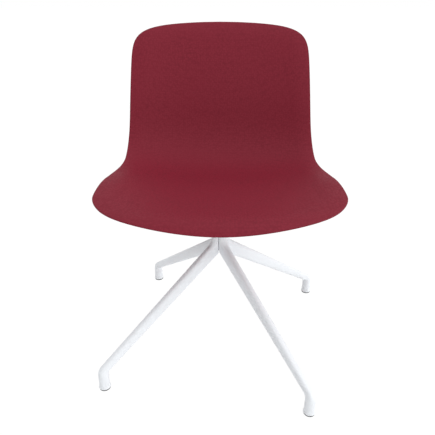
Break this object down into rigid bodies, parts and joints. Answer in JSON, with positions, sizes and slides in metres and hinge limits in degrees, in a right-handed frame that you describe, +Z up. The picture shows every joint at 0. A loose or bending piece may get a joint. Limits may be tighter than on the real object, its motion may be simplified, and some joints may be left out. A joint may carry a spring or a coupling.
{
  "type": "visitor chair",
  "caption": "Visitor chair: a one-piece dished plastic seat and back, turning on a slim base of oval legs that meet in a short column and stand on nylon glides.",
  "frame": {"origin": "on the floor under the swivel axis, which is the centre of the footprint", "axes": "+Z up along the swivel axis, -Y the way the seat faces, +X to the right for someone who stands in front of the chair"},
  "size_m": [0.5644, 0.5644, 0.7719],
  "materials": {
    "shell_polypropylene": "dark red moulded polypropylene with a fine grain",
    "leg_powder_coat": "white powder coat, satin",
    "plate_powder_coat": "black powder coat, satin",
    "bright_steel": "turned, satin",
    "zinc_plate": "zinc plated, satin",
    "brass_insert": "machined",
    "acetal_white": "moulded, satin",
    "nylon_grey": "moulded, matte"
  },
  "bodies": {
    "base": {"column_core": "bright_steel", "column_plug": "nylon_grey", "upper_bush": "acetal_white", "lower_bush": "acetal_white", "thrust_washer": "acetal_white", "leg_screw_front_left": "zinc_plate", "leg_screw_front_right": "zinc_plate", "leg_screw_rear_right": "zinc_plate", "leg_screw_rear_left": "zinc_plate", "leg_front_left": "leg_powder_coat", "leg_front_right": "leg_powder_coat", "leg_rear_right": "leg_powder_coat", "leg_rear_left": "leg_powder_coat", "glide_front_left": "nylon_grey", "glide_front_right": "nylon_grey", "glide_rear_right": "nylon_grey", "glide_rear_left": "nylon_grey"},
    "seat": {"seat_shell": "shell_polypropylene", "shell_insert_front_left": "brass_insert", "shell_insert_front_right": "brass_insert", "shell_insert_rear_right": "brass_insert", "shell_insert_rear_left": "brass_insert", "seat_plate": "plate_powder_coat", "plate_washer_front_left": "zinc_plate", "plate_washer_front_right": "zinc_plate", "plate_washer_rear_right": "zinc_plate", "plate_washer_rear_left": "zinc_plate", "plate_screw_front_left": "zinc_plate", "plate_screw_front_right": "zinc_plate", "plate_screw_rear_right": "zinc_plate", "plate_screw_rear_left": "zinc_plate", "spindle": "bright_steel", "spindle_washer": "zinc_plate", "spindle_nut": "zinc_plate", "retaining_washer": "zinc_plate", "retaining_clip": "bright_steel"}
  },
  "joints": [
    {"name": "seat_swivel", "type": "hinge", "parent": "base", "child": "seat", "pos_m": [0, 0, 0.385], "axis": [0, 0, 1], "continuous": true}
  ]
}
